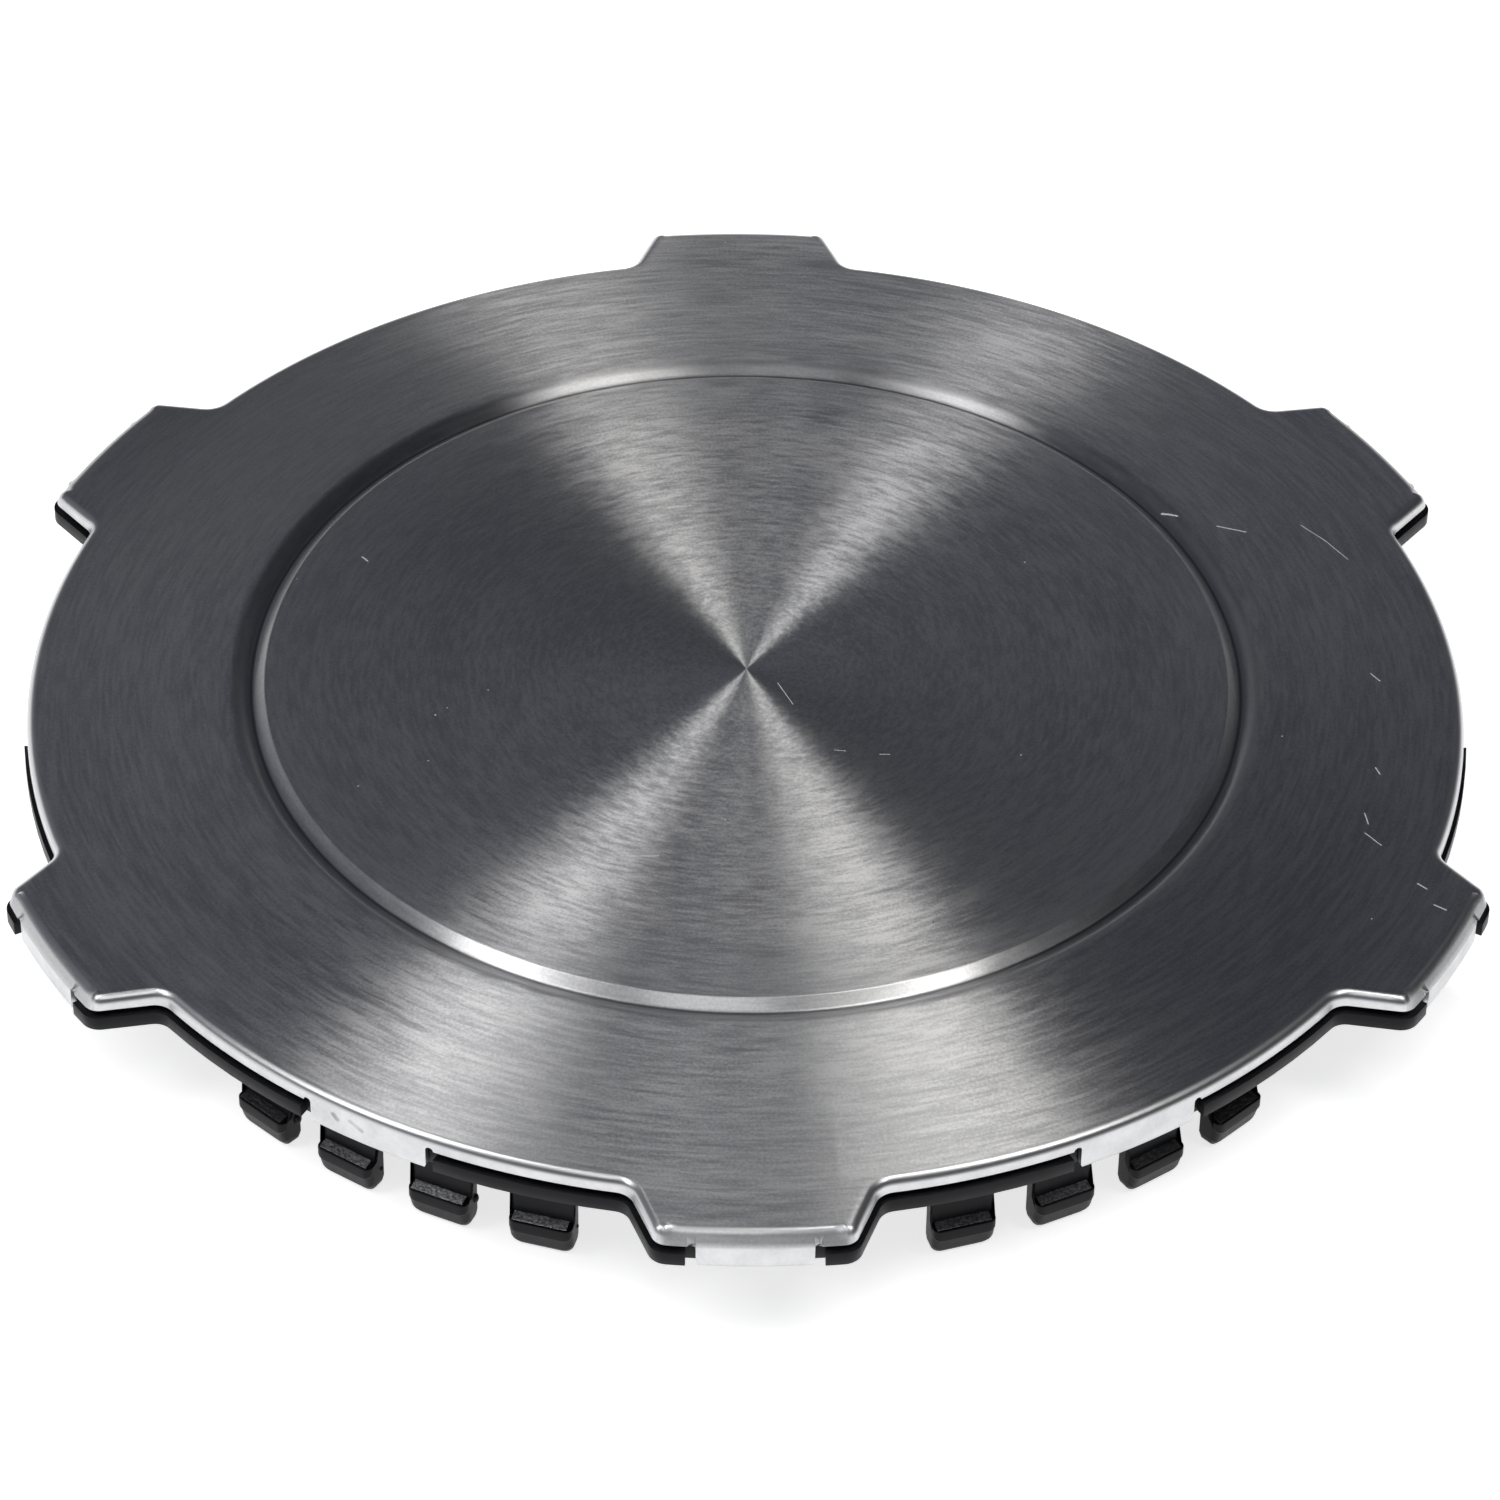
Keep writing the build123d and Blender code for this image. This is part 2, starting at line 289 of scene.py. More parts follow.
# Pressed face sheet
faceSheet = {
    "roundRadius": 99.0,
    "kneeRadius": 97.0,        # the sloping band ends here
    "kneeEase": 1.2,
    "rimHeight": 20.4,
    "discHeight": 23.0,
    "discRings": (12.0, 34.0, 54.3),   # radii of the flat disc's inner rows
    "discRadius": 66.3,
    "grooveRadius": 68.2,
    "grooveDepth": 1.5,
    "shoulderRadius": 70.4,
    "grooveRounds": (0.5, 1.0, 3.0),   # lip, floor, shoulder
    "groovePressed": 0.2,      # share of the smoothed finish on the groove's inner wall
    "bandStart": 3.0,          # the band's own rows start this far outside the shoulder
    "bandShares": (0.3, 0.6, 0.78, 0.9, 0.96, 1.0),
    "lobes": 6,
    "lobeRadius": 107.4,
    "lobeTipWidth": 25.1,
    "lobeSideAngle": 20.5,
    "lobeDrop": 0.2,
    "lobeCorner": 2.2,
    "lobeRoot": 3.0,
    "edgeRadius": 1.4,
    "edgeBend": 90.0,          # degrees the rim is bent down before the skirt runs straight
    "tipRadius": 1.8,          # lobe tips are bent more gently and slope out below
    "tipBend": 58.0,
    "tipBrushed": 0.6,         # share of the brushing that is left on their slope
    "skirtLow": 18.3,
    "tabLow": 14.5,
    "tabBend": 1.1,
    "tabReach": 3.2,
    "tabCorner": 1.2,
    "lobeTabWidth": 15.0,
    "bayTabWidth": 17.3,
    "notchRadius": 0.55,
    "sheet": 0.8,
}


def arcPoints(centre, radius, start, end, count, inward=False):  # points with their outward normals
    found = []
    for index in range(count + 1):
        a = start + (end - start) * index / count
        n = -1.0 if inward else 1.0
        found.append((centre[0] + radius * cos(a), centre[1] + radius * sin(a), n * cos(a), n * sin(a)))
    return found


def tabMarks(width, notch, end, step):  # distances from a tab's middle, close together at its root notch
    half = width / 2
    inside = max(2, round(half / step))
    marks = [half * index / inside for index in range(inside + 1)]
    marks += [half + notch * (1 - cos(pi * index / 8)) for index in range(1, 9)]
    rest = max(1, round((end - marks[-1]) / (1.6 * step)))
    last = marks[-1]
    return marks + [last + (end - last) * index / rest for index in range(1, rest + 1)]


def outlineColumns(v):  # one turn: x, y, normal, tab width or 0, distance from the tab's middle, tip share
    slant = radians(v["lobeSideAngle"])
    half = v["lobeTipWidth"] / 2
    tip = Vector((sqrt(v["lobeRadius"] ** 2 - half**2), half))
    along, out = Vector((-cos(slant), sin(slant))), Vector((sin(slant), cos(slant)))

    def centreFor(offset, reach, far):
        first = tip + out * offset
        b, c = first.dot(along), first.length_squared - reach**2
        return first + along * (-b + (sqrt(b * b - c) if far else -sqrt(b * b - c)))

    corner = centreFor(-v["lobeCorner"], v["lobeRadius"] - v["lobeCorner"], False)
    root = centreFor(v["lobeRoot"], v["roundRadius"] + v["lobeRoot"], False)
    tipTurn, rootTurn = atan2(corner.y, corner.x), atan2(root.y, root.x)
    bayTurn = pi / v["lobes"]
    outTurn = atan2(out.y, out.x)
    quarter = []
    for s in tabMarks(v["lobeTabWidth"], v["notchRadius"], tipTurn * v["lobeRadius"], 0.9)[:-1]:
        a = s / v["lobeRadius"]
        quarter.append((v["lobeRadius"] * cos(a), v["lobeRadius"] * sin(a), cos(a), sin(a),
                        v["lobeTabWidth"], s, 1.0))
    for index, point in enumerate(arcPoints(corner, v["lobeCorner"], tipTurn, outTurn, 8)):
        quarter.append((*point, 0.0, 0.0, 1.0 - index / 8))
    first, last = corner + out * v["lobeCorner"], root - out * v["lobeRoot"]
    for index in range(1, 5):
        p = first.lerp(last, index / 5)
        quarter.append((p.x, p.y, out.x, out.y, 0.0, 0.0, 0.0))
    for point in arcPoints(root, v["lobeRoot"], outTurn + pi, rootTurn + pi, 7, inward=True):
        quarter.append((*point, 0.0, 0.0, 0.0))
    bay = tabMarks(v["bayTabWidth"], v["notchRadius"], (bayTurn - rootTurn) * v["roundRadius"], 0.9)
    for s in reversed(bay[:-1]):
        a = bayTurn - s / v["roundRadius"]
        quarter.append((v["roundRadius"] * cos(a), v["roundRadius"] * sin(a), cos(a), sin(a),
                        v["bayTabWidth"], -s, 0.0))
    mirrored = [(x, -y, nx, -ny, width, -s, tip) for x, y, nx, ny, width, s, tip in reversed(quarter[1:-1])]
    columns = []
    for lobe in range(v["lobes"]):
        turn = radians(90.0) + 2 * bayTurn * lobe
        c, s0 = cos(turn), sin(turn)
        for x, y, nx, ny, width, s, tip in mirrored + quarter:
            columns.append((x * c - y * s0, x * s0 + y * c, nx * c - ny * s0, nx * s0 + ny * c, width, s, tip))
    return columns


def rimBend(v, column):  # radius, bend, run of the whole rim and height of its start, at one column
    x, y, nx, ny, tip = *column[:4], column[6]
    radius = v["edgeRadius"] + (v["tipRadius"] - v["edgeRadius"]) * tip
    bend = radians(v["edgeBend"] + (v["tipBend"] - v["edgeBend"]) * tip)
    top = topHeight(v, hypot(x - nx * radius, y - ny * radius))
    straight = top - radius * (1 - cos(bend)) - v["skirtLow"]
    return radius, bend, radius * sin(bend) + straight / tan(bend), top


def roundedProfile(corners, rounds, steps):  # corners of a radius-height line, each turned into an arc
    line = [corners[0]]
    for before, corner, after, rounding in zip(corners, corners[1:], corners[2:], rounds):
        a, b, c = Vector(before), Vector(corner), Vector(after)
        first, second = (a - b).normalized(), (c - b).normalized()
        half = first.angle(second) / 2
        middle = b + (first + second).normalized() * (rounding / sin(half))
        start, end = b + first * (rounding / tan(half)), b + second * (rounding / tan(half))
        for index in range(steps + 1):
            ray = (start - middle).slerp(end - middle, index / steps)  # of length 1
            line.append(tuple(middle + ray * rounding))
    return line + [corners[-1]]


def topHeight(v, radius):  # of the sloping band and the nearly level lobes beyond its knee
    fall = (v["discHeight"] - v["rimHeight"]) / (v["kneeRadius"] - v["shoulderRadius"])
    lobeFall = v["lobeDrop"] / (v["lobeRadius"] - v["kneeRadius"])
    past = radius - v["kneeRadius"]
    ease = v["kneeEase"]
    eased = 0.5 * (past + sqrt(past * past + ease * ease))  # soft corner at the knee
    return v["rimHeight"] - fall * (past - eased) - lobeFall * eased


def faceRows(v, columns):  # rows of points from the middle to where the rim bends down
    top = v["discHeight"]
    fall = (v["discHeight"] - v["rimHeight"]) / (v["kneeRadius"] - v["shoulderRadius"])
    corners = [(v["discRings"][-1], top), (v["discRadius"], top), (v["grooveRadius"], top - v["grooveDepth"]),
               (v["shoulderRadius"], top), (v["shoulderRadius"] + v["bandStart"], top - v["bandStart"] * fall)]
    rows = []
    profile = [(ring, top) for ring in v["discRings"][:-1]] + roundedProfile(corners, v["grooveRounds"], 5)
    for radius, height in profile:
        row = []
        for x, y, *_ in columns:
            reach = hypot(x, y)
            row.append((x / reach * radius, y / reach * radius, height))
        rows.append(row)
    inner = profile[-1][0]
    for share in v["bandShares"]:
        row = []
        for column in columns:
            x, y, nx, ny = column[:4]
            reach, run = hypot(x, y), rimBend(v, column)[2]
            px = x / reach * inner * (1 - share) + (x - nx * run) * share
            py = y / reach * inner * (1 - share) + (y - ny * run) * share
            row.append((px, py, topHeight(v, hypot(px, py))))
        rows.append(row)
    return rows


def rimRows(v, columns):  # the bend round the rim, then the skirt, notched beside each tab
    bends = [rimBend(v, column) for column in columns]
    rows = []
    for step in range(1, 9):
        row = []
        for (x, y, nx, ny, *_), (radius, bend, run, top) in zip(columns, bends):
            a = bend * step / 8
            inset = run - radius * sin(a)
            row.append((x - nx * inset, y - ny * inset, top - radius * (1 - cos(a))))
        rows.append(row)
    lows = []
    for *_, width, s, _ in columns:
        off = abs(abs(s) - width / 2 - v["notchRadius"]) if width else v["notchRadius"]
        lows.append(v["skirtLow"] + sqrt(max(0.0, v["notchRadius"] ** 2 - off**2)))
    ends = rows[-1]
    for share in (0.5, 1.0):
        rows.append([(ax + (x - ax) * share, ay + (y - ay) * share, az + (low - az) * share)
                     for (ax, ay, az), (x, y, *_), low in zip(ends, columns, lows)])
    return rows


def tabRows(v, columns):  # tabs run down the carrier's edge and fold in under it; no points between tabs
    bend = v["tabBend"]
    path = [(0.0, v["skirtLow"] - share * (v["skirtLow"] - v["tabLow"] - bend), 0.0) for share in (0.25, 0.6, 1.0)]
    for step in range(1, 6):
        a = radians(90.0 * step / 5)
        path.append((bend * (1 - cos(a)), v["tabLow"] + bend * (1 - sin(a)), 0.6 * v["tabCorner"] * step / 5))
    for share in (0.4, 1.0):
        inset = bend + (v["tabReach"] - bend) * share
        path.append((inset, v["tabLow"], v["tabCorner"] * (0.6 + 0.9 * share)))
    rows = []
    for inset, height, narrow in path:
        row = []
        for x, y, *_, width, s, _ in columns:
            if not width or abs(s) > width / 2 + 1e-6:
                row.append(None)
                continue
            shift = -s * narrow / (width / 2)  # tabs narrow towards their free end
            reach = hypot(x, y) - inset
            a = atan2(y, x) + shift / hypot(x, y)
            row.append((reach * cos(a), reach * sin(a), height))
        rows.append(row)
    return rows


def buildFaceSheet(v, metal, edgeMetal):
    columns = outlineColumns(v)
    rows = faceRows(v, columns)
    flatRows = len(rows)
    rows += rimRows(v, columns)
    skirtRows = len(rows)
    rows += tabRows(v, columns)
    work = bmesh.new()
    pressed = work.verts.layers.float.new("pressed")  # 0 on the face, more in the groove, 1 on the bent rim
    grid = [[work.verts.new(Vector(p) * mm) if p else None for p in row] for row in rows]
    for i, row in enumerate(grid):
        radius = hypot(*rows[i][0][:2])
        inGroove = v["discRadius"] - 0.3 < radius < v["grooveRadius"] - 0.3  # its steep inner wall
        share = min(1.0, (i - flatRows + 1) / 2) if i >= flatRows else v["groovePressed"] * inGroove
        for vert, column in zip(row, columns):
            if vert:
                vert[pressed] = share * (1.0 - v["tipBrushed"] * column[6] * (i > flatRows + 2))
    middle = work.verts.new((0.0, 0.0, rows[0][0][2] * mm))
    count = len(columns)
    for j in range(count):
        k = (j + 1) % count
        work.faces.new((middle, grid[0][j], grid[0][k]))
        for i in range(len(rows) - 1):
            corners = (grid[i][j], grid[i + 1][j], grid[i + 1][k], grid[i][k])
            if all(corners):
                face = work.faces.new(corners)
                tip = min(columns[j][6], columns[k][6]) > 0.3
                bareFrom = skirtRows - 1 if tip else flatRows + 5  # lobe tips stay brushed down to the skirt
                face.material_index = int(i >= bareFrom)
    work.normal_update()
    mesh = bpy.data.meshes.new("brushedFace")
    work.to_mesh(mesh)
    work.free()
    mesh.materials.append(metal)
    mesh.materials.append(edgeMetal)
    thing = addObject("brushedFace", mesh)
    wall = thing.modifiers.new("sheet", "SOLIDIFY")
    wall.thickness = v["sheet"] * mm
    wall.offset = -1.0
    wall.use_even_offset = True
    wall.material_offset = 1
    wall.material_offset_rim = 1
    bakeModifiers(thing)
    softenShading(thing, 34.0)
    # A texture space as wide as it is long keeps the brushing's tangents in true circles
    thing.data.use_auto_texspace = False
    thing.data.texspace_location = (0.0, 0.0, 0.5 * v["discHeight"] * mm)
    thing.data.texspace_size = (v["lobeRadius"] * mm, v["lobeRadius"] * mm, v["discHeight"] * mm)
    print("face sheet:", len(columns), "columns,", len(thing.data.polygons), "faces, skirt row", skirtRows)
    return thing


# Black moulded carrier: the solid's own plate and lip, with broken edges
carrierFinish = {
    "tone": (0.004, 0.004, 0.006),
    "dustTone": (0.012, 0.012, 0.016),
    "roughness": 0.40,
    "sheen": 0.16,             # specular level, low for a dull black
    "edgeBreak": 0.18,
}


def blackPlastic():
    v = carrierFinish
    material, wire = newMaterial("blackPlastic")
    here = wire.node("ShaderNodeTexCoord", output=3)
    fine = here.noise(1500.0, 3.0, 0.6)
    soft = here.noise(180.0, 3.0)
    dust = ((soft - 0.35) * 0.9 + (fine - 0.5) * 0.9).clamped()
    colour = dust.blend(v["tone"], v["dustTone"])
    rough = swung(v["roughness"], (fine, soft), (0.25, 0.15))
    relief = fine * 0.008 + soft * 0.012
    inputs = {"Base Color": colour, "Roughness": rough, "Specular IOR Level": v["sheen"], "Normal": relief.bump()}
    finishMaterial(wire, inputs)
    return material


def roughPad():  # sparkling coarse grain where the mould was eroded; a per-leg attribute paints light onto it: how brightly each pad is lit, as a paler colour and more metallic glints
    material, wire = newMaterial("roughPad")
    here = wire.node("ShaderNodeTexCoord", output=3)
    paintedLight = wire.node("ShaderNodeAttribute", {"attribute_name": "padPaintedLight"}, output=2)
    coarse = here.noise(2300.0, 2.0, 0.6)
    fine = here.noise(5200.0, 2.0, 0.6)
    grit = coarse.ramp(0.36, 0.66) * 0.7 + fine.ramp(0.35, 0.7) * 0.3
    # painted light: the pad goes from dark to pale with how lit its leg is, the grain showing only where it is lit
    colour = (paintedLight * (0.2 + grit * 0.8)).blend(padFinish["darkTone"], padFinish["tone"])
    relief = coarse * 0.22 + fine * 0.05
    inputs = {"Base Color": colour, "Roughness": 0.34 + grit * 0.3, "Metallic": paintedLight * grit * 0.8}
    finishMaterial(wire, {**inputs, "Normal": relief.bump()})
    return material


def buildCarrierShell(v, plastic):  # ends just above the legs, which follow as repeated pieces
    work = bmesh.new()
    work.from_mesh(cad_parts["clip_carrier"].data)
    bmesh.ops.remove_doubles(work, verts=work.verts, dist=0.004 * mm)
    bmesh.ops.dissolve_limit(work, angle_limit=radians(0.6), verts=work.verts, edges=work.edges)
    mesh = bpy.data.meshes.new("carrierShell")
    work.to_mesh(mesh)
    work.free()
    mesh.materials.clear()
    mesh.materials.append(plastic)
    thing = addObject("carrierShell", mesh)
    broken = thing.modifiers.new("brokenEdges", "BEVEL")
    broken.width = v["edgeBreak"] * mm
    broken.segments = 2
    broken.limit_method = "ANGLE"
    broken.angle_limit = radians(32.0)
    broken.use_clamp_overlap = True
    bakeModifiers(thing)
    work = bmesh.new()
    work.from_mesh(thing.data)
    everything = list(work.verts) + list(work.edges) + list(work.faces)
    cut = (0.0, 0.0, snapLegs["cutHeight"] * mm)
    bmesh.ops.bisect_plane(work, geom=everything, plane_co=cut, plane_no=(0.0, 0.0, 1.0), clear_inner=True)
    work.to_mesh(thing.data)
    work.free()
    softenShading(thing, 40.0)
    print("carrier shell:", len(thing.data.polygons), "faces")
    return thing


# Snap legs, four in each bay
snapLegs = {
    "bays": 6,
    "perBay": 4,
    "pitch": 8.715,            # degrees
    "cutHeight": 15.0,
    "ringRadius": 92.7,
    "width": 8.6,
    "thickness": 1.7,
    "rootThickness": 2.6,
    "rootHeight": 18.8,
    "barbHeight": 5.4,
    "barbReach": 1.8,
    "barbFall": 0.4,
    "barbBand": 1.7,
    "barbStep": 0.2,
    "noseTaper": 0.6,
    "noseHeight": 0.9,
    "noseSetback": 1.5,
    "footWidth": 1.6,
    "cornerRadius": 1.7,       # lower corners, seen from outside
    "noseCorner": 0.9,         # upright edges of the barb, seen from below
    "edgeRadius": 0.22,
    "nubSize": 0.55,           # flash left on one side of each leg
    "nubInset": 1.1,
    "nubRise": (2.6, 5.0),     # lowest and highest place on the leg
    "nubShrink": 0.2,          # smallest nub, as a share of its size
    "nubSpread": 1.4,          # largest
}
padFinish = {
    # colours of an unlit and a fully lit pad; the step between them is painted light
    "tone": (0.95, 0.95, 0.97),
    "darkTone": (0.012, 0.012, 0.014),
    "left": 0.5,               # clear of the barb's ends
    "right": 0.7,
    "inner": 0.12,
    "outer": 0.32,
    "proud": 0.08,
    "sunk": 0.1,               # its border lies this far inside the leg
    "grain": 0.035,
    "ragged": 0.03,
    # painted light: how brightly the pads of the bays at 240 and 300 degrees are lit, painted into their colour and
    # glints, the others being drawn at random
    "paintedLight": {4: (0.08, 0.5, 0.95, 0.9), 5: (0.42, 0.38, 0.12, 0.05)},
}


def roundedLoop(corners, rounds, steps):  # a closed outline with each corner turned into an arc
    loop = []
    count = len(corners)
    for index, rounding in enumerate(rounds):
        a, b, c = (Vector(corners[(index + shift) % count]) for shift in (-1, 0, 1))
        first, second = (a - b).normalized(), (c - b).normalized()
        half = first.angle(second) / 2
        middle = b + (first + second).normalized() * (rounding / sin(half))
        start, end = b + first * (rounding / tan(half)), b + second * (rounding / tan(half))
        for step in range(steps + 1):
            loop.append(middle + (start - middle).slerp(end - middle, step / steps) * rounding)
    return loop


def buildLeg(v):  # one leg along +X, from its foot to just inside the carrier
    face, nose = v["ringRadius"], v["ringRadius"] + v["barbReach"]
    shoulder = v["barbHeight"]
    band = shoulder - v["barbFall"] - v["barbBand"]
    top = v["cutHeight"] + 0.3
    slant = (v["rootThickness"] - v["thickness"]) / (v["rootHeight"] - shoulder - 1.0)
    back = face - v["thickness"] - slant * (top - shoulder - 1.0)
    corners = [(back, top), (face - 0.01, top), (face, shoulder), (nose, shoulder - v["barbFall"]), (nose, band),
               (nose - v["barbStep"], band - v["barbStep"]), (nose - v["barbStep"] - v["noseTaper"], v["noseHeight"]),
               (nose - v["noseSetback"], 0.0), (nose - v["noseSetback"] - v["footWidth"], 0.0),
               (face - v["thickness"], v["noseHeight"]), (face - v["thickness"], shoulder + 1.0)]
    loop = roundedLoop(corners, (0.02, 0.02, 0.18, 0.2, 0.12, 0.12, 0.7, 0.45, 0.3, 0.5, 0.3), 4)
    count = len(loop)
    normals = []
    for index in range(count):
        run = (loop[(index + 1) % count] - loop[index - 1]).normalized()
        normals.append(Vector((-run.y, run.x)))  # the loop runs clockwise, so this points out
    half, edge = v["width"] / 2, v["edgeRadius"]
    marks = [(0.0, edge), (0.08 * edge, 0.6 * edge), (0.4 * edge, 0.2 * edge), (edge, 0.0)]
    marks += [(edge + (v["cornerRadius"] * 1.3 - edge) * index / 6, 0.0) for index in range(1, 7)]
    marks += [(0.75 * half, 0.0), (half, 0.0)]
    columns = [(far - half, far, inset) for far, inset in marks]
    columns += [(half - far, far, inset) for far, inset in reversed(marks[:-1])]
    work = bmesh.new()
    grid = []
    for y, far, inset in columns:
        near = max(0.0, v["cornerRadius"] - far)
        lift = v["cornerRadius"] - sqrt(v["cornerRadius"] ** 2 - near**2)
        near = max(0.0, v["noseCorner"] - far)
        pull = v["noseCorner"] - sqrt(v["noseCorner"] ** 2 - near**2)
        row = []
        for p, n in zip(loop, normals):
            r, z = p.x - n.x * inset, p.y - n.y * inset
            if z < shoulder:
                z = lift + z * (1 - lift / shoulder)
            if r > face:
                r = face + (r - face) * (1 - pull / v["barbReach"])
            row.append(work.verts.new(Vector((r, y, z)) * mm))
        grid.append(row)
    for j in range(len(grid) - 1):
        for i in range(count):
            k = (i + 1) % count
            work.faces.new((grid[j][i], grid[j][k], grid[j + 1][k], grid[j + 1][i]))
    work.faces.new(grid[0])
    work.faces.new(list(reversed(grid[-1])))
    bmesh.ops.recalc_face_normals(work, faces=work.faces)
    mesh = bpy.data.meshes.new("snapLeg")
    work.to_mesh(mesh)
    work.free()
    thing = addObject("snapLeg", mesh)
    softenShading(thing, 50.0)
    return thing


def buildPad(v, pad):  # rough patch on the barb's shoulder, with a slightly ragged top
    dice = random.Random(4)
    across, along = 8, 29  # faces each way, the outermost ones sloping down into the leg
    face = v["ringRadius"]
    inner, outer = face + pad["inner"], face + v["barbReach"] - pad["outer"]
    low, high = -v["width"] / 2 + pad["left"], v["width"] / 2 - pad["right"]
    fall = v["barbFall"] / v["barbReach"]
    work = bmesh.new()
    grid = []
    for j in range(along + 1):
        row = []
        for i in range(across + 1):
            r = inner + (outer - inner) * min(max(i - 1, 0), across - 2) / (across - 2)
            y = low + (high - low) * min(max(j - 1, 0), along - 2) / (along - 2)
            base = v["barbHeight"] - fall * (r - face)
            border = i in (0, across) or j in (0, along)
            z = base - pad["sunk"] if border else base + pad["proud"] + dice.uniform(-1, 1) * pad["grain"]
            ragged = 0.0 if border else pad["ragged"]
            row.append(work.verts.new(Vector((r + dice.uniform(-ragged, ragged), y, z)) * mm))
        grid.append(row)
    for j in range(along):
        for i in range(across):
            work.faces.new((grid[j][i], grid[j][i + 1], grid[j + 1][i + 1], grid[j + 1][i]))
    bmesh.ops.contextual_create(work, geom=[e for e in work.edges if e.is_boundary])
    bmesh.ops.recalc_face_normals(work, faces=work.faces)
    mesh = bpy.data.meshes.new("legPad")
    work.to_mesh(mesh)
    work.free()
    return addObject("legPad", mesh)


def buildNub(v):  # small blob of flash on the side that faces counter-clockwise
    work = bmesh.new()
    bmesh.ops.create_uvsphere(work, u_segments=12, v_segments=8, radius=v["nubSize"] * mm)
    bmesh.ops.scale(work, vec=(0.9, 0.7, 1.25), verts=work.verts)
    for face in work.faces:
        face.smooth = True
    mesh = bpy.data.meshes.new("nub")
    work.to_mesh(mesh)
    work.free()
    return addObject("nub", mesh)


def legPlaces(v, pad):  # one point for each leg, at the nub's place before it is turned
    dice = random.Random(11)
    turns, paintedLights = [], []
    for bay in range(v["bays"]):
        paintedLight = pad["paintedLight"].get(bay)
        for leg in range(v["perBay"]):
            turns.append(radians(bay * 360 / v["bays"] + (leg - (v["perBay"] - 1) / 2) * v["pitch"]))
            # each leg's pad gets its painted light here
            paintedLights.append(paintedLight[leg] if paintedLight else dice.uniform(0.1, 0.8))
    mesh = bpy.data.meshes.new("legPlaces")
    mesh.from_pydata([(0.0, 0.0, 0.0)] * len(turns), [], [])
    for name, values in (("turn", turns), ("padPaintedLight", paintedLights)):
        mesh.attributes.new(name, "FLOAT", "POINT").data.foreach_set("value", values)
    return addObject("clipCarrier", mesh)


def legTree(v):  # repeats leg, pad and nub round the shell
    tree = bpy.data.node_groups.new("snapLegRing", "GeometryNodeTree")
    keys = {}
    for name, kind in (("Places", "Geometry"), ("Shell", "Object"), ("Leg", "Object"), ("Pad", "Object"),
                       ("Nub", "Object"), ("Nub spread", "Float"), ("Plastic", "Material"), ("Grain", "Material")):
        socket = tree.interface.new_socket(name, in_out="INPUT", socket_type="NodeSocket" + kind)
        keys[name] = socket.identifier
    tree.interface.new_socket("Carrier", in_out="OUTPUT", socket_type="NodeSocketGeometry")
    wire = Wire(tree)
    given = tree.nodes.new("NodeGroupInput")
    value = {name: Wire(tree, given.outputs[name]) for name in keys}
    turn = wire.node("GeometryNodeInputNamedAttribute", {"data_type": "FLOAT"}, {"Name": "turn"})
    rotation = wire.node("ShaderNodeCombineXYZ", None, {"Z": turn})
    parts = []
    for name, material in (("Leg", "Plastic"), ("Pad", "Grain")):
        blank = wire.node("GeometryNodeObjectInfo", None, {"Object": value[name], "As Instance": True}, "Geometry")
        ring = wire.node("GeometryNodeInstanceOnPoints", None,
                         {"Points": value["Places"], "Instance": blank, "Rotation": rotation})
        loose = wire.node("GeometryNodeRealizeInstances", None, {"Geometry": ring})
        parts.append(wire.node("GeometryNodeSetMaterial", None, {"Geometry": loose, "Material": value[material]}))
    lowest, highest = v["nubRise"]
    drawn = [{"Min": v["nubShrink"], "Max": value["Nub spread"], "Seed": 7},
             {"Min": lowest * mm, "Max": highest * mm, "Seed": 9}]
    spread, rise = [wire.node("FunctionNodeRandomValue", {"data_type": "FLOAT"}, inputs, 1) for inputs in drawn]
    corner = {"X": (v["ringRadius"] - v["nubInset"]) * mm, "Y": v["width"] / 2 * mm, "Z": rise}
    side = wire.node("ShaderNodeCombineXYZ", None, corner)
    placed = wire.node("ShaderNodeVectorRotate", {"rotation_type": "Z_AXIS"}, {"Vector": side, "Angle": turn})
    moved = wire.node("GeometryNodeSetPosition", None, {"Geometry": value["Places"], "Position": placed})
    blob = wire.node("GeometryNodeObjectInfo", None, {"Object": value["Nub"], "As Instance": True}, "Geometry")
    nubs = wire.node("GeometryNodeInstanceOnPoints", None,
                     {"Points": moved, "Instance": blob, "Rotation": rotation, "Scale": spread})
    loose = wire.node("GeometryNodeRealizeInstances", None, {"Geometry": nubs})
    parts.append(wire.node("GeometryNodeSetMaterial", None, {"Geometry": loose, "Material": value["Plastic"]}))
    parts.append(wire.node("GeometryNodeObjectInfo", None, {"Object": value["Shell"]}, "Geometry"))
    joined = tree.nodes.new("GeometryNodeJoinGeometry")
    for part in parts:
        tree.links.new(part.socket, joined.inputs[0])
    tree.links.new(joined.outputs[0], tree.nodes.new("NodeGroupOutput").inputs[0])
    return tree, keys


def buildCarrier(plastic, grain):
    shell = buildCarrierShell(carrierFinish, plastic)
    leg, pad, nub = buildLeg(snapLegs), buildPad(snapLegs, padFinish), buildNub(snapLegs)
    thing = legPlaces(snapLegs, padFinish)
    tree, keys = legTree(snapLegs)
    ring = thing.modifiers.new("snapLegs", "NODES")
    ring.node_group = tree
    chosen = {"Shell": shell, "Leg": leg, "Pad": pad, "Nub": nub}
    chosen.update({"Nub spread": snapLegs["nubSpread"], "Plastic": plastic, "Grain": grain})
    for name, choice in chosen.items():
        ring[keys[name]] = choice
    bakeModifiers(thing)
    for blank in (shell, leg, pad, nub):
        bpy.data.objects.remove(blank)
    print("carrier:", len(thing.data.polygons), "faces,", snapLegs["bays"] * snapLegs["perBay"], "legs")
    return thing


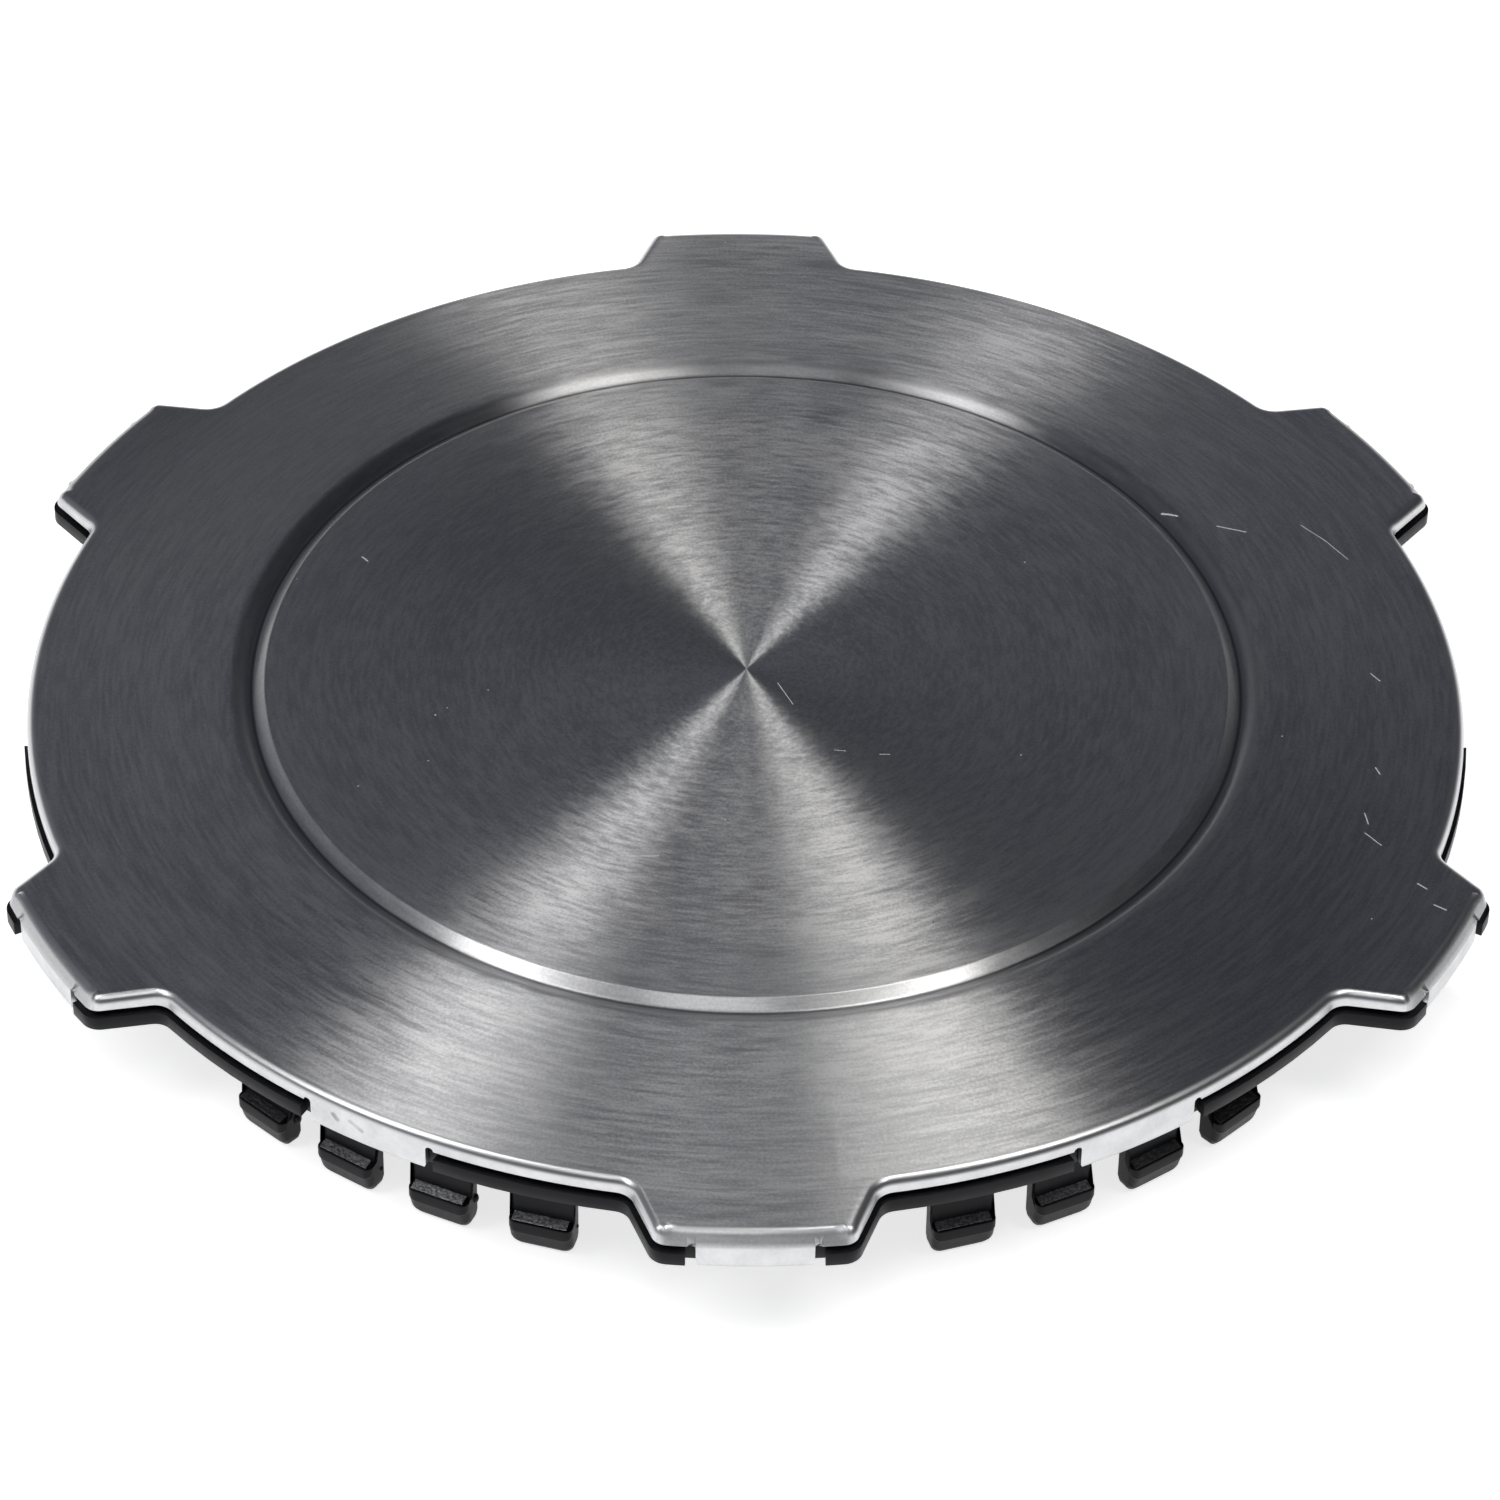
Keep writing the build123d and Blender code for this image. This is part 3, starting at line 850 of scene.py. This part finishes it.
metal, edgeMetal, plastic, grain = brushedMetal(), bareEdgeMetal(), blackPlastic(), roughPad()
brushedFace = buildFaceSheet(faceSheet, metal, edgeMetal)
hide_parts("face_skin")
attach(brushedFace, "root")

clipCarrier = buildCarrier(plastic, grain)
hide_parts("clip_carrier")
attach(clipCarrier, "root")


# Studio: pale floor, two strong softboxes and a weak one in front, a world that darkens overhead
studio = {
    "floorSize": 14.0,
    "floorTone": (0.93, 0.93, 0.93),
    "floorGlow": 0.75,         # what the eye and the metal see on top of the floor's own light
    "horizon": (0.95, 0.95, 0.95),
    "overhead": (0.073, 0.076, 0.092),
    "skyRamp": (0.06, 0.36),   # from the horizon's tone to the overhead one
    "leftLift": 0.75,          # the surroundings are lighter on the left
    "lamps": [
        # name, direction from the part, distance, width, length, roll in degrees, watts, colour
        ("rightBox", (0.340, -0.20, 0.92), 0.7, 0.11, 0.48, -14.0, 1.42, (1.0, 0.985, 0.945)),
        ("leftBox", (-0.50, -0.20, 0.85), 0.7, 0.17, 0.48, 17.0, 1.45, (1.0, 0.99, 0.975)),
        ("frontBox", (-0.09, -0.46, 0.87), 0.8, 0.24, 0.30, 0.0, 0.6, (1.0, 1.0, 1.0)),
    ],
}


def buildStudio(v):
    mesh = bpy.data.meshes.new("floor")
    half = v["floorSize"] / 2
    mesh.from_pydata([(-half, -half, 0), (half, -half, 0), (half, half, 0), (-half, half, 0)], [], [(0, 1, 2, 3)])
    floor = addObject("floor", mesh)
    material, wire = newMaterial("paleFloor")
    diffuse = wire.node("ShaderNodeBsdfDiffuse", None, {"Color": (*v["floorTone"], 1.0)})
    seen = wire.math("MAXIMUM", wire.node("ShaderNodeLightPath"), wire.node("ShaderNodeLightPath", output=3))
    glow = wire.node("ShaderNodeEmission", None, {"Strength": seen * v["floorGlow"]})
    both = wire.node("ShaderNodeAddShader", None, {0: diffuse, 1: glow})
    output = wire.tree.nodes.new("ShaderNodeOutputMaterial")
    wire.tree.links.new(both.socket, output.inputs["Surface"])
    mesh.materials.append(material)

    world = bpy.data.worlds.new("studio")
    bpy.context.scene.world = world
    world.use_nodes = True
    world.node_tree.nodes.clear()
    sky = Wire(world.node_tree)
    direction = sky.node("ShaderNodeTexCoord", output=0)
    up = sky.node("ShaderNodeSeparateXYZ", None, {0: direction}, 2)
    across = sky.node("ShaderNodeSeparateXYZ", None, {0: direction})
    shade = up.ramp(*v["skyRamp"]).blend(v["horizon"], v["overhead"])
    shade = sky.scaled(shade, 1.0 - across * v["leftLift"])
    shade = sky.node("ShaderNodeLightPath").blend(shade, (1.0, 1.0, 1.0))  # the eye sees plain white
    background = sky.node("ShaderNodeBackground", None, {"Color": shade, "Strength": 1.0})
    output = sky.tree.nodes.new("ShaderNodeOutputWorld")
    sky.tree.links.new(background.socket, output.inputs["Surface"])

    for name, towards, distance, width, length, roll, watts, colour in v["lamps"]:
        light = bpy.data.lights.new(name, "AREA")
        light.shape = "RECTANGLE"
        light.size, light.size_y = width, length
        light.energy = watts
        light.color = colour
        lamp = addObject(name, light)
        ray = Vector(towards).normalized()
        lamp.location = ray * distance
        lamp.rotation_mode = "QUATERNION"
        lamp.rotation_quaternion = ray.to_track_quat("Z", "Y") @ Quaternion((0.0, 0.0, 1.0), radians(roll))
    print("studio:", len(v["lamps"]), "lamps")


def buildCamera():
    spot = {"place": (-0.0134, -0.6499, 0.5675), "view": (0.01641, 0.7579, -0.6522), "roll": 0.8766, "lens": 147.55}
    data = bpy.data.cameras.new("camera")
    data.lens = spot["lens"]
    data.sensor_width = 36.0
    data.clip_start, data.clip_end = 0.01, 50.0
    camera = addObject("camera", data)
    camera.location = spot["place"]
    camera.rotation_mode = "QUATERNION"
    level = Vector(spot["view"]).to_track_quat("-Z", "Y")
    camera.rotation_quaternion = level @ Quaternion((0.0, 0.0, 1.0), radians(spot["roll"]))
    bpy.context.scene.camera = camera


buildStudio(studio)
buildCamera()
bpy.context.scene.view_settings.view_transform = "Standard"

print("scene done")
